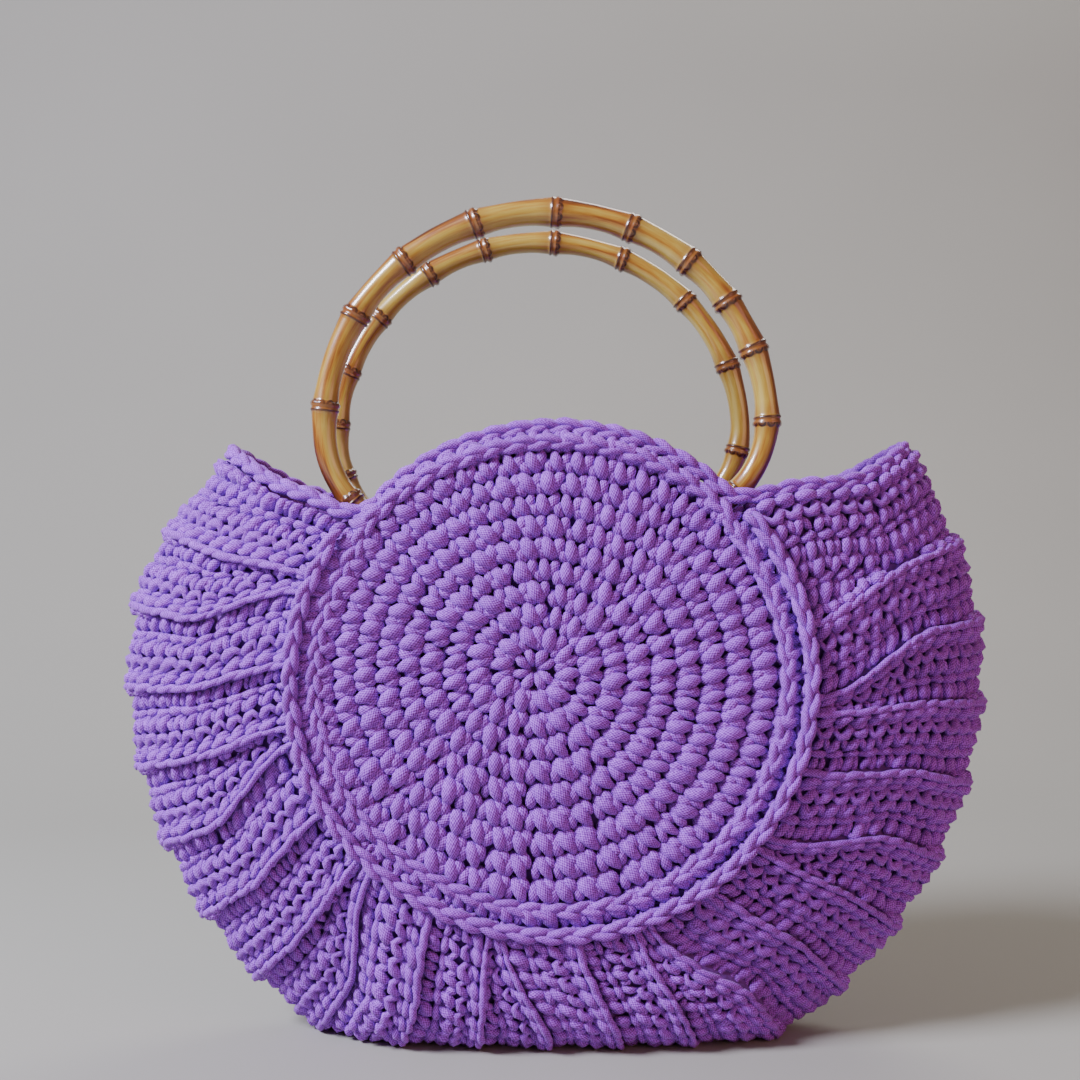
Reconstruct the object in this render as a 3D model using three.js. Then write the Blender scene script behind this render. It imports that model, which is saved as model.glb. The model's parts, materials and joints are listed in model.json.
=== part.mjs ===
// A crocheted handbag, in millimetres, standing on its base with +Z up.
// Two round crocheted panels face -Y and +Y. A ribbed strip, crocheted to and fro, is sewn
// between them from the left side of the mouth, under the base and up to the right side.
// The strip is wider than the bag is deep, so it folds outwards and is gathered at the panels.
// A chain-stitch seam covers each join, and another chain edges the whole mouth. Two bamboo
// handles, bent to a D, are lashed by their straight bars to the inside of the panels.
// The origin is on the standing surface, under the middle of the bag.
import * as THREE from "three";
import { mergeVertices } from "three/addons/utils/BufferGeometryUtils.js";

// Clearance between pieces that touch on the real bag, and what straight facets need beyond it.
const clearance = 0.3;
const facetAllowance = 0.4;

// Round panels.
const panelRadius = 109.6;
const panelRimThickness = 6.5;
const panelDome = 3;
const panelEdgeRound = 1.2;
const bagDepth = 102;
const panelSegments = 56;

// Chain stitching: a flat oval of two cords side by side.
const chainWidth = 8.4;
const chainThickness = 6.4;
const seamChainStandOff = 0.9;

// Side strip.
const stripThickness = 6.5;
const stripDropBelowSeam = 54;
const foldReach = 97.4;
const ribCount = 21;
const ribRise = 5;
const ribRiseAtBase = 3;
const ribStepAngle = 1.3;
const climbHollow = 0.9;
const widestSeamStep = 7;
const endRibShare = 1.2;
const sideFoldPower = 1.6;
const baseFoldPower = 3.6;
const baseFlattening = 2;
const gatherWidthShare = 0.3;
const leftTipDrop = 15;
const rightTipDrop = 4;
const tipDropAngle = 24;

// Where the strip starts and ends, in degrees round the panel from +X towards +Z.
const leftNotchAngle = 143.5;
const leftTipAngle = 147.5;
const rightNotchAngle = 401;
const rightTipAngle = 391;
// The mouth's chain leaves a panel's edge this far before the strip's end.
const mouthCornerAngle = 6;

// Every third tuck gathers two ribs at the seam: where the three ribs of a tuck meet the
// seam, as shares of the angle that the three take at the fold.
const tuckShares = [
  { rib: "first", seamShare: -0.1 },
  { rib: "second", seamShare: -0.01 },
  { rib: "third", seamShare: 0.5 },
];

// Bamboo handles.
const handleHalfWidth = 102.3;
const handleArchHeight = 98;
const handleCornerRadius = 48;
const poleRadius = 5.2;
const poleFlareRadius = 5.9;
const knuckleRadius = 6.5;
const flareLength = 12;
const knuckleHalfWidth = 2.2;
const handleBarHeight = 241.5;
const handleSides = 8;
// Knuckles along the pole, as shares of its length from the middle of the bar, going left.
const frontKnuckles = [
  0.035, 0.1, 0.168, 0.249, 0.328, 0.387, 0.451, 0.516, 0.577, 0.63, 0.675, 0.72, 0.78, 0.845, 0.905, 0.965,
];
const backKnuckles = [
  0.035, 0.11, 0.199, 0.247, 0.296, 0.352, 0.41, 0.463, 0.524, 0.585, 0.652, 0.722, 0.8, 0.86, 0.905, 0.965,
];
const frontHandle = { roll: 3, barX: -2.3, knuckles: frontKnuckles };
const backHandle = { roll: 4, barX: -4.5, knuckles: backKnuckles };

// Cord lashings round each bar.
const lashingBoreRadius = 6;
const cordDiameter = 4.3;
const lashings = [
  { name: "left", centre: -36, length: 19 },
  { name: "middle", centre: 0, length: 22 },
  { name: "right", centre: 36, length: 19 },
];
const lashingSegments = 12;

// Sizes that follow from the ones above.
const halfDepth = bagDepth / 2;
const seamRadius = panelRadius + chainWidth / 2 + seamChainStandOff;
const mouthRadius = panelRadius + clearance + facetAllowance + chainWidth / 2;
const centreHeight = seamRadius + chainWidth / 2 + stripDropBelowSeam;
const stripRimRadius = panelRadius + clearance + facetAllowance;
const foldRadius = panelRadius + foldReach;
const panelInnerFace = halfDepth - panelRimThickness;
const lashingRadius = lashingBoreRadius + cordDiameter;
const barDepth = panelInnerFace - clearance - lashingRadius;
const panelCentre = new THREE.Vector3(0, 0, centreHeight);

const fabric = new THREE.MeshStandardMaterial({ color: 0x9b6fd0, roughness: 0.85, metalness: 0 });
const trim = new THREE.MeshStandardMaterial({ color: 0xa67be0, roughness: 0.8, metalness: 0 });
const bamboo = new THREE.MeshStandardMaterial({ color: 0xc9a55c, roughness: 0.3, metalness: 0 });

const radians = (degrees) => (degrees * Math.PI) / 180;
const mix = (a, b, t) => a + (b - a) * t;
const smooth = (t) => {
  const c = Math.min(1, Math.max(0, t));
  return c * c * (3 - 2 * c);
};

// A point at an angle and radius round the panels' centre, at depth y.
function aroundPanel(angle, radius, y) {
  const a = radians(angle);
  return new THREE.Vector3(radius * Math.cos(a), y, centreHeight + radius * Math.sin(a));
}

// Triangles of a grid of points, row by row, added to a list. flip turns them over.
function addGrid(list, grid, flip) {
  for (let i = 0; i + 1 < grid.length; i++) {
    for (let j = 0; j + 1 < grid[i].length; j++) {
      const [a, b, c, d] = [grid[i][j], grid[i][j + 1], grid[i + 1][j + 1], grid[i + 1][j]];
      list.push(...(flip ? [a, c, b, a, d, c] : [a, b, c, a, c, d]));
    }
  }
}

// A solid from a list of triangle corners.
function solidGeometry(corners) {
  const geometry = new THREE.BufferGeometry().setFromPoints(corners);
  return mergeVertices(geometry, 1e-4);
}

// A closed wall between two grids of the same size.
function wallGeometry(outer, inner) {
  const corners = [];
  const last = outer.length - 1;
  const column = (grid, j) => grid.map((row) => row[j]);
  const end = outer[0].length - 1;
  addGrid(corners, outer, false);
  addGrid(corners, inner, true);
  addGrid(corners, [outer[0], inner[0]], true);
  addGrid(corners, [outer[last], inner[last]], false);
  addGrid(corners, [column(outer, 0), column(inner, 0)], false);
  addGrid(corners, [column(outer, end), column(inner, end)], true);
  return solidGeometry(corners);
}

// A tube through rings of points: a closed loop, or a length with flat ends.
function tubeGeometry(rings, isLoop) {
  const corners = [];
  const closed = rings.map((ring) => [...ring, ring[0]]);
  if (isLoop) closed.push(closed[0]);
  addGrid(corners, closed, false);
  if (!isLoop) {
    const first = rings[0];
    const final = rings[rings.length - 1];
    for (let j = 1; j + 1 < first.length; j++) {
      corners.push(first[0], first[j + 1], first[j]);
      corners.push(final[0], final[j], final[j + 1]);
    }
  }
  return solidGeometry(corners);
}

// One ring of an oval section at a point, with the directions of its two half axes.
function ovalRing(centre, across, acrossHalf, up, upHalf, sides) {
  const ring = [];
  for (let j = 0; j < sides; j++) {
    const a = (2 * Math.PI * (j + 0.5)) / sides;
    const point = centre.clone();
    point.addScaledVector(across, acrossHalf * Math.cos(a));
    point.addScaledVector(up, upHalf * Math.sin(a));
    ring.push(point);
  }
  return ring;
}

// Outer angle of a rib where it crosses the fold. Numbers between ribs are places between them.
function ribFoldAngle(rib) {
  const step = (rightTipAngle - leftTipAngle) / (ribCount - 1 + 2 * endRibShare);
  return leftTipAngle + (rib + endRibShare) * step;
}

// Angle of a rib where it meets the seam, pulled to its tuck.
function ribSeamAngle(rib) {
  const tuckSize = tuckShares.length;
  const first = Math.floor(rib / tuckSize) * tuckSize;
  const tuckAngle = ribFoldAngle(tuckSize) - ribFoldAngle(0);
  return ribFoldAngle(first) + tuckAngle * tuckShares[rib % tuckSize].seamShare;
}

// The strip's profile round the bag at one fold angle: how far it reaches, and how square it is.
function foldShape(foldAngle) {
  const fromLeft = smooth((foldAngle - leftTipAngle) / tipDropAngle);
  const fromRight = smooth((rightTipAngle - foldAngle) / tipDropAngle);
  const free = foldRadius - leftTipDrop * (1 - fromLeft) - rightTipDrop * (1 - fromRight);
  const down = -Math.sin(radians(foldAngle));
  const floorRadius = down > 0.2 ? (centreHeight + baseFlattening) / down : Infinity;
  const radius = Math.min(free, floorRadius);
  const lowest = foldRadius - centreHeight - baseFlattening;
  const baseShare = Math.sqrt(Math.min(1, Math.max(0, (foldRadius - floorRadius) / lowest)));
  return { reach: radius - stripRimRadius, power: mix(sideFoldPower, baseFoldPower, baseShare), baseShare };
}

// Directions along one section from the front seam (0) over the fold to the back seam (1),
// evenly spaced along the cloth, for a section of the given reach and squareness.
function sectionAngles(reach, power, places) {
  const samples = 240;
  const point = (a) => ({
    reach: reach * Math.abs(Math.cos(a)) ** (2 / power),
    y: halfDepth * Math.sign(Math.sin(a)) * Math.abs(Math.sin(a)) ** (2 / power),
  });
  const lengths = [0];
  let before = point(-Math.PI / 2);
  for (let i = 1; i <= samples; i++) {
    const here = point(-Math.PI / 2 + (Math.PI * i) / samples);
    lengths.push(lengths[i - 1] + Math.hypot(here.reach - before.reach, here.y - before.y));
    before = here;
  }
  const total = lengths[samples];
  return places.map((place) => {
    let i = 1;
    while (i < samples && lengths[i] < place * total) i++;
    const share = (place * total - lengths[i - 1]) / (lengths[i] - lengths[i - 1] || 1);
    return -Math.PI / 2 + (Math.PI * (i - 1 + Math.min(1, Math.max(0, share)))) / samples;
  });
}

const stripPlaces = [0, 0.06, 0.14, 0.23, 0.32, 0.41, 0.46, 0.5, 0.54, 0.59, 0.68, 0.77, 0.86, 0.94, 1];

// One line of points across the strip. inset is how far the line lies under the strip's face.
function stripLine(seamAngle, foldAngle, inset) {
  const { reach, power, baseShare } = foldShape(foldAngle);
  const angles = sectionAngles(reach, power, stripPlaces);
  return stripPlaces.map((place, i) => {
    const fromSeam = Math.min(place, 1 - place);
    const gathered = 1 - smooth(fromSeam / gatherWidthShare);
    const angle = mix(foldAngle, seamAngle, gathered);
    const under = inset.thickness + inset.rise * smooth(fromSeam / stripPlaces[2]);
    const [c, s] = [Math.cos(angles[i]), Math.sin(angles[i])];
    const out = i === 0 || i === stripPlaces.length - 1 ? 0 : (reach - under) * Math.abs(c) ** (2 / power);
    const y = (halfDepth - under) * Math.sign(s) * Math.abs(s) ** (2 / power);
    const point = aroundPanel(angle, stripRimRadius + out, y);
    point.z = Math.max(point.z, inset.thickness * mix(1, 0.6, baseShare));
    return point;
  });
}

// The strip's stations along the bag: each rib rises to its ridge, then steps back down.
function stripStations() {
  const rise = (foldAngle) => mix(ribRise, ribRiseAtBase, foldShape(foldAngle).baseShare);
  const stations = [{ seam: leftNotchAngle, fold: leftTipAngle, rise: 0 }];
  const climbTo = (seam, fold, ridgeRise) => {
    const before = stations[stations.length - 1];
    const steps = Math.max(2, Math.ceil((seam - before.seam) / widestSeamStep));
    for (let i = 1; i < steps; i++) {
      const t = i / steps;
      const under = ridgeRise * (1 - t) * climbHollow;
      stations.push({ seam: mix(before.seam, seam, t), fold: mix(before.fold, fold, t), rise: under });
    }
    stations.push({ seam, fold, rise: 0 });
  };
  for (let rib = 0; rib < ribCount; rib++) {
    const fold = ribFoldAngle(rib);
    const seam = ribSeamAngle(rib);
    climbTo(seam, fold, rise(fold));
    const stepSeam = seam + ribStepAngle * 0.5;
    stations.push({ seam: stepSeam, fold: fold + ribStepAngle, rise: rise(fold) });
  }
  climbTo(rightNotchAngle, rightTipAngle, ribRise);
  return stations;
}

// The ribbed side strip, one folded wall.
function sideStrip() {
  const stations = stripStations();
  const outer = stations.map((s) => stripLine(s.seam, s.fold, { thickness: 0, rise: s.rise }));
  const insideRise = 0.6;
  const inner = stations.map((s) =>
    stripLine(s.seam, s.fold, { thickness: stripThickness, rise: insideRise * s.rise }),
  );
  return new THREE.Mesh(wallGeometry(outer, inner), fabric);
}

// A round panel, domed on the outside and flat inside. side is -1 at the front and 1 at the back.
function panel(side) {
  const face = halfDepth;
  const dome = (radius) => face + panelDome * (1 - (radius / panelRadius) ** 2);
  const profile = [
    [0, panelInnerFace],
    [panelRadius, panelInnerFace],
    [panelRadius, face - panelEdgeRound],
    [panelRadius - panelEdgeRound, face],
    [panelRadius * 0.8, dome(panelRadius * 0.8)],
    [panelRadius * 0.5, dome(panelRadius * 0.5)],
    [0, dome(0)],
  ];
  const points = profile.map(([radius, height]) => new THREE.Vector2(radius, height));
  const mesh = new THREE.Mesh(new THREE.LatheGeometry(points, panelSegments), fabric);
  mesh.rotation.x = side < 0 ? Math.PI : 0;
  mesh.position.z = centreHeight;
  return mesh;
}

// The chain seam over a panel's join with the strip, from one end of the mouth to the other.
function seamChain(side) {
  const steps = 48;
  const y = side * (halfDepth + clearance + chainThickness / 2);
  const endGap = 1;
  const depthways = new THREE.Vector3(0, side, 0);
  const rings = [];
  for (let i = 0; i <= steps; i++) {
    const angle = mix(leftNotchAngle + endGap, rightNotchAngle - endGap, i / steps);
    const outward = aroundPanel(angle, 1, 0).sub(panelCentre);
    const centre = aroundPanel(angle, seamRadius, y);
    const ring = ovalRing(centre, outward, chainWidth / 2, depthways, chainThickness / 2, 6);
    rings.push(side < 0 ? ring.reverse() : ring);
  }
  return new THREE.Mesh(tubeGeometry(rings, false), trim);
}

// Places down the middle of the strip's end wall, moved off it by half a chain's width, each with
// the direction in which the chain's width stands there. turn is -1 on the left and 1 on the right.
function hemRoute(seamAngle, foldAngle, turn) {
  const middle = stripLine(seamAngle, foldAngle, { thickness: stripThickness / 2, rise: 0 });
  const offset = clearance + facetAllowance + chainWidth / 2;
  const route = [];
  for (let i = 1; i + 1 < middle.length; i++) {
    const along = middle[i + 1].clone().sub(middle[i - 1]).normalize();
    const outward = middle[i].clone().setY(0).sub(panelCentre).normalize();
    const round = new THREE.Vector3(-outward.z, 0, outward.x).multiplyScalar(turn);
    const up = round.addScaledVector(along, -round.dot(along)).normalize();
    const point = middle[i].clone().addScaledVector(up, offset);
    const fromCentre = point.clone().setY(0).sub(panelCentre).length();
    if (fromCentre < mouthRadius) point.addScaledVector(outward, mouthRadius - fromCentre);
    route.push({ point, up });
  }
  return route;
}

// Places along a panel's free edge at the mouth, from the first angle to the last.
function mouthArc(side, from, to) {
  const steps = 16;
  const y = side * (halfDepth - panelRimThickness / 2);
  const route = [];
  for (let i = 0; i <= steps; i++) {
    const angle = mix(from, to, i / steps);
    route.push({ point: aroundPanel(angle, mouthRadius, y), up: aroundPanel(angle, 1, 0).sub(panelCentre) });
  }
  return route;
}

// The chain that edges the whole mouth: both hems of the strip and both panels' free edges.
function mouthChain() {
  const fullTurn = 360;
  const leftArcAngle = leftNotchAngle - mouthCornerAngle;
  const rightArcAngle = rightNotchAngle - fullTurn + mouthCornerAngle;
  const route = [
    ...hemRoute(leftNotchAngle, leftTipAngle, -1),
    ...mouthArc(1, leftArcAngle, rightArcAngle),
    ...hemRoute(rightNotchAngle, rightTipAngle, 1).reverse(),
    ...mouthArc(-1, rightArcAngle, leftArcAngle),
  ];
  const pathOf = (key) => new THREE.CatmullRomCurve3(route.map((place) => place[key]), true, "centripetal");
  const line = pathOf("point");
  const stand = pathOf("up");
  const steps = 112;
  const rings = [];
  for (let i = 0; i < steps; i++) {
    const t = line.getUtoTmapping(i / steps);
    const along = line.getTangent(t);
    const across = new THREE.Vector3().crossVectors(along, stand.getPoint(t)).normalize();
    const up = new THREE.Vector3().crossVectors(across, along);
    const ring = ovalRing(line.getPoint(t), across, panelRimThickness / 2, up, chainWidth / 2, 6);
    rings.push(ring.reverse());
  }
  return new THREE.Mesh(tubeGeometry(rings, true), trim);
}

// A point of the D-shaped centre line, in its own plane, with the bar's middle at 0, 0.
function handlePoint(distance) {
  const bar = handleHalfWidth - handleCornerRadius;
  const corner = (Math.PI / 2) * handleCornerRadius;
  const arch = handleArchLength();
  const half = bar + corner + arch / 2;
  const wrapped = ((distance % (2 * half)) + 2 * half) % (2 * half);
  const side = wrapped <= half ? -1 : 1;
  const d = side < 0 ? wrapped : 2 * half - wrapped;
  if (d <= bar) return new THREE.Vector3(side * d, 0, 0);
  if (d <= bar + corner) {
    const a = (d - bar) / handleCornerRadius;
    const x = bar + handleCornerRadius * Math.sin(a);
    return new THREE.Vector3(side * x, 0, handleCornerRadius * (1 - Math.cos(a)));
  }
  const a = ((d - bar - corner) / (arch / 2)) * (Math.PI / 2);
  const x = handleHalfWidth * Math.cos(a);
  return new THREE.Vector3(side * x, 0, handleCornerRadius + handleArchHeight * Math.sin(a));
}

function handleArchLength() {
  return Math.PI * ((handleHalfWidth + handleArchHeight) / 2);
}

function handleLength() {
  const straight = 2 * (handleHalfWidth - handleCornerRadius);
  return straight + Math.PI * handleCornerRadius + handleArchLength();
}

// Pole radius at a distance from the nearest knuckle.
function poleRadiusAt(fromKnuckle) {
  if (fromKnuckle < knuckleHalfWidth / 2) return knuckleRadius;
  const flare = Math.max(0, 1 - fromKnuckle / flareLength);
  return mix(poleRadius, poleFlareRadius, flare * flare);
}

// A bamboo handle, standing in its own plane round the middle of its bar.
function handleMesh(shares) {
  const length = handleLength();
  const places = [];
  shares.forEach((share, i) => {
    const here = share * length;
    const next = (i + 1 < shares.length ? shares[i + 1] : 1 + shares[0]) * length;
    places.push(here - knuckleHalfWidth, here, here + knuckleHalfWidth);
    places.push(mix(here, next, 0.36), mix(here, next, 0.64));
  });
  const depthways = new THREE.Vector3(0, 1, 0);
  const rings = places.map((place) => {
    const point = handlePoint(place);
    const along = handlePoint(place + 0.5).sub(handlePoint(place - 0.5)).normalize();
    const gaps = shares.map((s) => Math.abs(place / length - s) * length);
    const wrapped = gaps.map((g) => Math.min(g, Math.abs(length - g)));
    const radius = poleRadiusAt(Math.min(...wrapped));
    const outward = new THREE.Vector3().crossVectors(along, depthways);
    return ovalRing(point, outward, radius, depthways, radius, handleSides).reverse();
  });
  return new THREE.Mesh(tubeGeometry(rings, true), bamboo);
}

// A short winding of cord round the bar, as a sleeve.
function lashingMesh(length) {
  const [a, b] = [-length / 2, length / 2];
  const round = cordDiameter / 4;
  const profile = [
    [lashingBoreRadius, a],
    [lashingRadius - round, a],
    [lashingRadius, a + round],
    [lashingRadius, b - round],
    [lashingRadius - round, b],
    [lashingBoreRadius, b],
    [lashingBoreRadius, a],
  ];
  const points = profile.map(([radius, height]) => new THREE.Vector2(radius, height));
  const mesh = new THREE.Mesh(new THREE.LatheGeometry(points, lashingSegments), fabric);
  mesh.rotation.z = -Math.PI / 2;
  return mesh;
}

// A handle with its lashings, at its panel. side is -1 at the front and 1 at the back.
function handleSet(name, side, { roll, barX, knuckles }) {
  const set = new THREE.Group();
  const handle = handleMesh(knuckles);
  handle.name = `${name}_handle`;
  set.add(handle);
  for (const lashing of lashings) {
    const mesh = lashingMesh(lashing.length);
    mesh.position.x = lashing.centre;
    mesh.name = `${name}_lashing_${lashing.name}`;
    set.add(mesh);
  }
  set.position.set(barX, side * barDepth, handleBarHeight);
  set.rotation.y = -radians(roll);
  return set;
}

function named(mesh, name) {
  mesh.name = name;
  return mesh;
}

const bag = new THREE.Group();
bag.add(named(panel(-1), "front_panel"));
bag.add(named(panel(1), "back_panel"));
bag.add(named(sideStrip(), "side_strip"));
bag.add(named(seamChain(-1), "front_seam_chain"));
bag.add(named(seamChain(1), "back_seam_chain"));
bag.add(named(mouthChain(), "mouth_chain"));
bag.add(handleSet("front", -1, frontHandle));
bag.add(handleSet("back", 1, backHandle));

export default bag;
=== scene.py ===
import json
import math

import bpy
import numpy as np
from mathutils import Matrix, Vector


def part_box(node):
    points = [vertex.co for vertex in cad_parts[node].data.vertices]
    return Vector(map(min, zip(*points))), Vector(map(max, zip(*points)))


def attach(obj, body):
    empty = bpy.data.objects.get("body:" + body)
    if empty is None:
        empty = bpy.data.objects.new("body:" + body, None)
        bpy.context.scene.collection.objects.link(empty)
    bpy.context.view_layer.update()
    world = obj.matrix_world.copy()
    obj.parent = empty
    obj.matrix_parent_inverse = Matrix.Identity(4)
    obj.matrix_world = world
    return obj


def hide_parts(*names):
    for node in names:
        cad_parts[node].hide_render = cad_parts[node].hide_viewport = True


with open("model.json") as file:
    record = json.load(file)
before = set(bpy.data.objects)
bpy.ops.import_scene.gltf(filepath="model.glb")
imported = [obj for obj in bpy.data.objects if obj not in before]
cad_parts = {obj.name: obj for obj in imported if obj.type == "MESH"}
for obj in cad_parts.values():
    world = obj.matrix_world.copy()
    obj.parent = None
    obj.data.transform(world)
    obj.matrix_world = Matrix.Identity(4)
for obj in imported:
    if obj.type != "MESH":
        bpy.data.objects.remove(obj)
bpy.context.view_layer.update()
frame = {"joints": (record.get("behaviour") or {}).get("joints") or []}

# The round panels, front and back: single crochet in cord about 4.3 mm thick, worked in rounds
# from a ring of eight loops. Each stitch shows a fat leg, a thin leg and a bead of the loop
# that it was drawn through, and dark holes are left between the rounds.
MM = 0.001
panel_low, panel_high = (np.array(corner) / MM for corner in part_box("front_panel"))
PANEL_CENTRE_Z = (panel_low[2] + panel_high[2]) / 2
PANEL_RADIUS = (panel_high[0] - panel_low[0]) / 2
PANEL_INNER_Y = -panel_high[1]
PANEL_DOME = 3.0
PANEL_FACE_Y = -panel_low[1] - PANEL_DOME
PANEL_BULGE = 5.0
BACKING_DEPTH = 5.0
BACKING_INSET = 0.3
INNER_LIFT = 0.6
ROUND_CENTRE = np.array([-10.0, 5.0])
ROUND_COUNT = 11
ROUNDS_TO_EDGE = 11.5
ROUND_REACH = 118.0
ROUND_STAGGER = 0.37
STITCH_WIDTH = 10.2
TABLE_PITCH = 10.0
TIGHTEST_ROUND = 4.0
PETAL_COUNT = 8

# How much the panels' stitches vary: their places in the round, lean, size, path and cord.
PANEL_JITTER = 0.09
PANEL_LEAN = 0.6
PANEL_SIZE_SPREAD = 0.07
PANEL_WANDER = 0.25
PANEL_CORD_SPREAD = 0.06

# The cord's knitted jacket: its colour and the painted shade of its grooves, the width of a column
# of loops in mm and the length of a loop in m, and the colours of the crochet seen deep between the
# stitches, which are painted shade.
CORD_COLOUR = (0.45, 0.107, 0.84, 1)
CORD_GROOVE_SHADE_COLOUR = (0.12, 0.0125, 0.245, 1)
JACKET_COLUMN = 1.45
LOOP_LENGTH = 0.00135
LINT_SCALE = 1100.0
DRIFT_SCALE = 55.0
PACKED_SCALE = 260.0
# Painted shade: the colours of the packed cord deep between the stitches, darkened for the shade
# there.
PACKED_DEEP_SHADE = (0.05, 0.008, 0.1, 1)
PACKED_PALE_SHADE = (0.2, 0.045, 0.38, 1)

# Cords of one stitch: across the stitch, outwards from its round, height over the panel's
# face, and the cord's radius, all in mm.
FAT_LEG = [
    (1.9, -0.2, -4.4, 1.8), (1.2, 1.7, -1.9, 3.1), (-0.2, 4.3, -0.5, 3.6), (-1.6, 7.2, -1.0, 2.7),
    (-2.6, 9.4, -2.5, 1.5), (-3.0, 10.8, -5.0, 0.9)
]
THIN_LEG = [
    (2.8, 0.8, -4.8, 1.6), (3.4, 3.0, -2.3, 2.6), (4.1, 5.6, -1.4, 2.9), (4.6, 7.9, -2.2, 2.4),
    (4.8, 9.8, -5.0, 1.2)
]
BEAD = [
    (-0.8, -0.6, -4.4, 1.6), (-2.4, 0.8, -1.9, 2.6), (-3.6, 2.8, -1.5, 2.7), (-4.4, 5.0, -3.4, 1.6)
]
FIRST_PETAL = [
    (0.0, 1.6, -5.0, 0.9), (0.0, 3.4, -2.2, 1.8), (0.0, 6.0, -0.9, 2.6), (0.2, 8.4, -1.8, 2.1),
    (0.3, 10.6, -4.8, 0.9)
]
INNER_BUMP = [
    (-4.6, 2.0, 0.0, 1.0), (-1.4, 4.6, 0.9, 2.2), (2.2, 5.0, 0.8, 2.2), (5.0, 2.6, 0.0, 1.0)
]


def link(tree, source, target):
    tree.links.new(source, target)


def cord_tree():
    """Sweeps a round cord along every line of a mesh, and keeps for its material how far along
    the cord and at which angle round it each point is."""
    tree = bpy.data.node_groups.new("cord_along_lines", "GeometryNodeTree")
    kinds = {"Lines": "Geometry", "Rings": "Int", "Sides": "Int", "Material": "Material"}
    for label, kind in kinds.items():
        tree.interface.new_socket(label, in_out="INPUT", socket_type=f"NodeSocket{kind}")
    tree.interface.new_socket("Cords", in_out="OUTPUT", socket_type="NodeSocketGeometry")
    nodes = tree.nodes
    entry = nodes.new("NodeGroupInput")
    exit_ = nodes.new("NodeGroupOutput")
    to_curve = nodes.new("GeometryNodeMeshToCurve")
    smooth = nodes.new("GeometryNodeCurveSplineType")
    smooth.spline_type = "CATMULL_ROM"
    resample = nodes.new("GeometryNodeResampleCurve")
    thickness = nodes.new("GeometryNodeInputNamedAttribute")
    thickness.data_type = "FLOAT"
    thickness.inputs["Name"].default_value = "cord_radius"
    parameter = nodes.new("GeometryNodeSplineParameter")
    along, around = (nodes.new("GeometryNodeStoreNamedAttribute") for _ in range(2))
    for node, label, kind in ((along, "along", "FLOAT"), (around, "around", "FLOAT_VECTOR")):
        node.data_type, node.domain = kind, "POINT"
        node.inputs["Name"].default_value = label
    circle = nodes.new("GeometryNodeCurvePrimitiveCircle")
    circle.inputs["Radius"].default_value = 1.0
    position = nodes.new("GeometryNodeInputPosition")
    sweep = nodes.new("GeometryNodeCurveToMesh")
    sweep.inputs["Fill Caps"].default_value = True
    shade = nodes.new("GeometryNodeSetShadeSmooth")
    realize = nodes.new("GeometryNodeRealizeInstances")
    paint = nodes.new("GeometryNodeSetMaterial")
    wires = [
        (entry, "Lines", to_curve, "Mesh"), (to_curve, "Curve", smooth, "Curve"),
        (smooth, "Curve", resample, "Curve"), (entry, "Rings", resample, "Count"),
        (resample, "Curve", along, "Geometry"), (parameter, "Length", along, "Value"),
        (entry, "Sides", circle, "Resolution"), (circle, "Curve", around, "Geometry"),
        (position, "Position", around, "Value"), (along, "Geometry", sweep, "Curve"),
        (around, "Geometry", sweep, "Profile Curve"), (thickness, "Attribute", sweep, "Scale"),
        (sweep, "Mesh", shade, "Geometry"), (shade, "Geometry", realize, "Geometry"),
        (realize, "Geometry", paint, "Geometry"), (entry, "Material", paint, "Material"),
        (paint, "Geometry", exit_, "Cords"),
    ]
    for source, output, target, socket in wires:
        link(tree, source.outputs[output], target.inputs[socket])
    return tree


CORD_TREE = cord_tree()


def store_values(mesh, label, values):
    """Keeps one value for each point of a mesh, for its material to read."""
    data = mesh.attributes.new(label, "FLOAT", "POINT").data
    data.foreach_set("value", values.astype(np.float32))


def lay_cords(name, batches, material, rings=7, sides=7):
    """Makes one mesh of cords. A batch of cords holds points (n, k, 3) and radii (n, k), in mm,
    and tones (n)."""
    points = np.concatenate([lines.reshape(-1, 3) for lines, _, _ in batches]) * MM
    radii = np.concatenate([widths.ravel() for _, widths, _ in batches]) * MM
    tones = np.concatenate([np.repeat(tone, lines.shape[1]) for lines, _, tone in batches])
    thickest = [np.repeat(widths.max(1), widths.shape[1]) for _, widths, _ in batches]
    columns = np.round(2 * math.pi * np.concatenate(thickest) / JACKET_COLUMN)
    edges, start = [], 0
    for lines, _, _ in batches:
        cords, knots = lines.shape[:2]
        first = start + np.arange(cords)[:, None] * knots + np.arange(knots - 1)
        edges.append(np.stack([first, first + 1], -1).reshape(-1, 2))
        start += cords * knots
    edges = np.concatenate(edges)
    mesh = bpy.data.meshes.new(name)
    mesh.vertices.add(len(points))
    mesh.vertices.foreach_set("co", points.astype(np.float32).ravel())
    mesh.edges.add(len(edges))
    mesh.edges.foreach_set("vertices", edges.astype(np.int32).ravel())
    for label, values in (("cord_radius", radii), ("tone", tones), ("columns", columns)):
        store_values(mesh, label, values)
    piece = bpy.data.objects.new(name, mesh)
    bpy.context.scene.collection.objects.link(piece)
    modifier = piece.modifiers.new("cords", "NODES")
    modifier.node_group = CORD_TREE
    sockets = CORD_TREE.interface.items_tree
    inputs = {socket.name: socket.identifier for socket in sockets if socket.in_out == "INPUT"}
    modifier[inputs["Rings"]] = rings
    modifier[inputs["Sides"]] = sides
    modifier[inputs["Material"]] = material
    evaluated = piece.evaluated_get(bpy.context.evaluated_depsgraph_get())
    laid = bpy.data.meshes.new_from_object(evaluated)
    piece.modifiers.remove(modifier)
    piece.data = laid
    laid.name = name
    bpy.data.meshes.remove(mesh)
    return piece


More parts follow.
